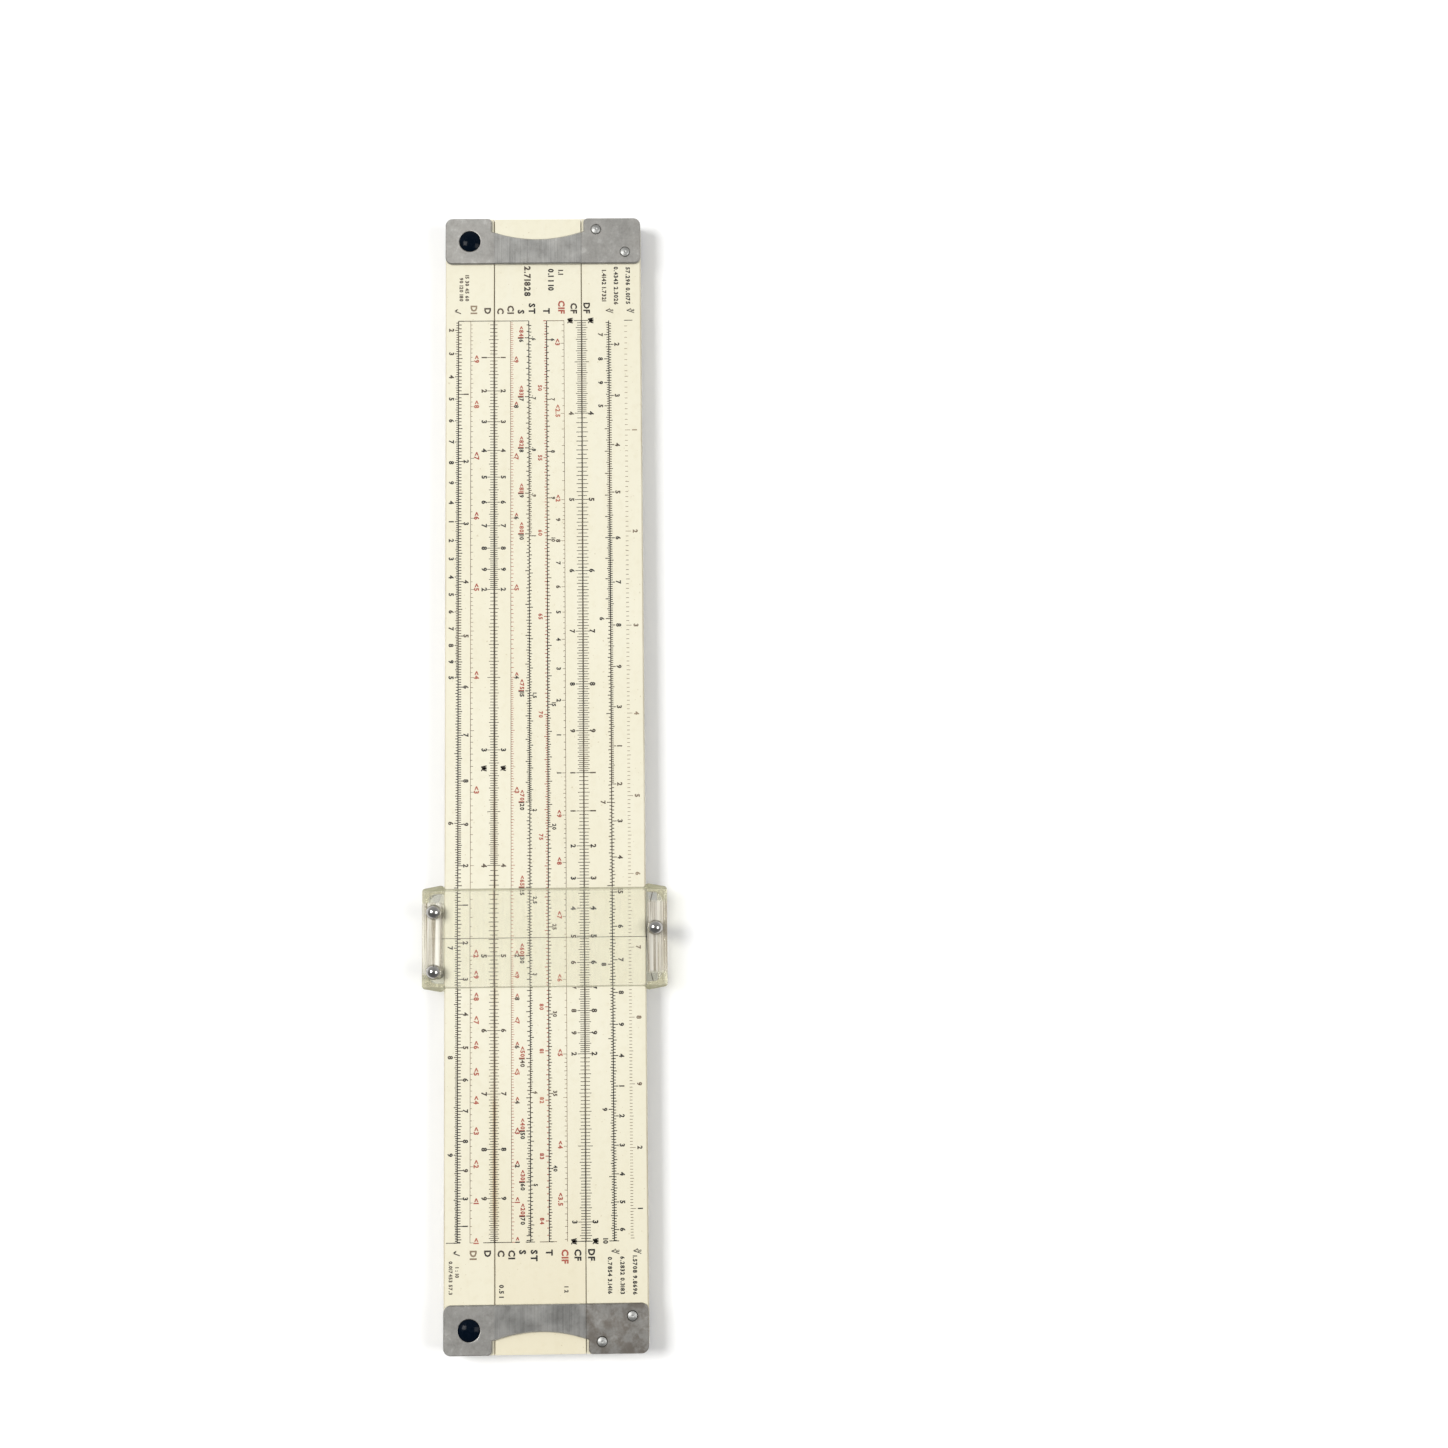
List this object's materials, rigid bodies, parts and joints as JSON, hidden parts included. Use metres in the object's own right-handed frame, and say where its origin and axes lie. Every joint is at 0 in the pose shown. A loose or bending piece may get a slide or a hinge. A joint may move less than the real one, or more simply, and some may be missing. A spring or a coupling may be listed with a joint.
{
  "type": "slide rule",
  "caption": "Duplex slide rule: two stators joined by steel end brackets, a sliding centre bar and a clear two-window cursor with a hairline.",
  "frame": {"origin": "under the middle of the rule's length and width, on the level of the outer face of the cursor's rear window, which the rule lies on", "axes": "+X along the rule to its right end, +Y from the lower stator to the upper stator, +Z out of the front face"},
  "size_m": [0.308, 0.0654, 0.0125],
  "materials": {
    "scale_plastic": "satin cream plastic, faintly yellowed",
    "bracket_steel": "brushed along the rule, dulled",
    "rivet_steel": "polished",
    "fastener_steel": "turned",
    "bumper_rubber": "smooth, glossy",
    "window_acrylic": "clear, polished",
    "block_plastic": "translucent, moulded",
    "spring_steel": "blued strip",
    "nut_chrome": "mirror polished"
  },
  "bodies": {
    "stock": {"lower_stator": "scale_plastic", "upper_stator": "scale_plastic", "bracket_front_left": "bracket_steel", "bumper_front_left": "bumper_rubber", "bracket_back_left": "bracket_steel", "bumper_back_left": "bumper_rubber", "rivet_outer_left": "rivet_steel", "rivet_inner_left": "rivet_steel", "tension_screw_left": "fastener_steel", "barrel_nut_left": "fastener_steel", "bracket_front_right": "bracket_steel", "bumper_front_right": "bumper_rubber", "bracket_back_right": "bracket_steel", "bumper_back_right": "bumper_rubber", "rivet_outer_right": "rivet_steel", "rivet_inner_right": "rivet_steel", "tension_screw_right": "fastener_steel", "barrel_nut_right": "fastener_steel"},
    "slide": {"slide": "scale_plastic"},
    "cursor": {"cursor_window_front": "window_acrylic", "cursor_window_back": "window_acrylic", "cursor_block_lower": "block_plastic", "cursor_block_upper": "block_plastic", "cursor_spring": "spring_steel", "cursor_screw_lower_left": "fastener_steel", "cursor_nut_lower_left": "nut_chrome", "cursor_screw_lower_right": "fastener_steel", "cursor_nut_lower_right": "nut_chrome", "cursor_screw_upper": "fastener_steel", "cursor_nut_upper": "nut_chrome"}
  },
  "joints": [
    {"name": "slide_travel", "type": "slide", "parent": "stock", "child": "slide", "axis": [1, 0, 0], "range_m": [-0.25, 0.25]},
    {"name": "cursor_travel", "type": "slide", "parent": "stock", "child": "cursor", "axis": [1, 0, 0], "range_m": [-0.172, 0.082]}
  ]
}
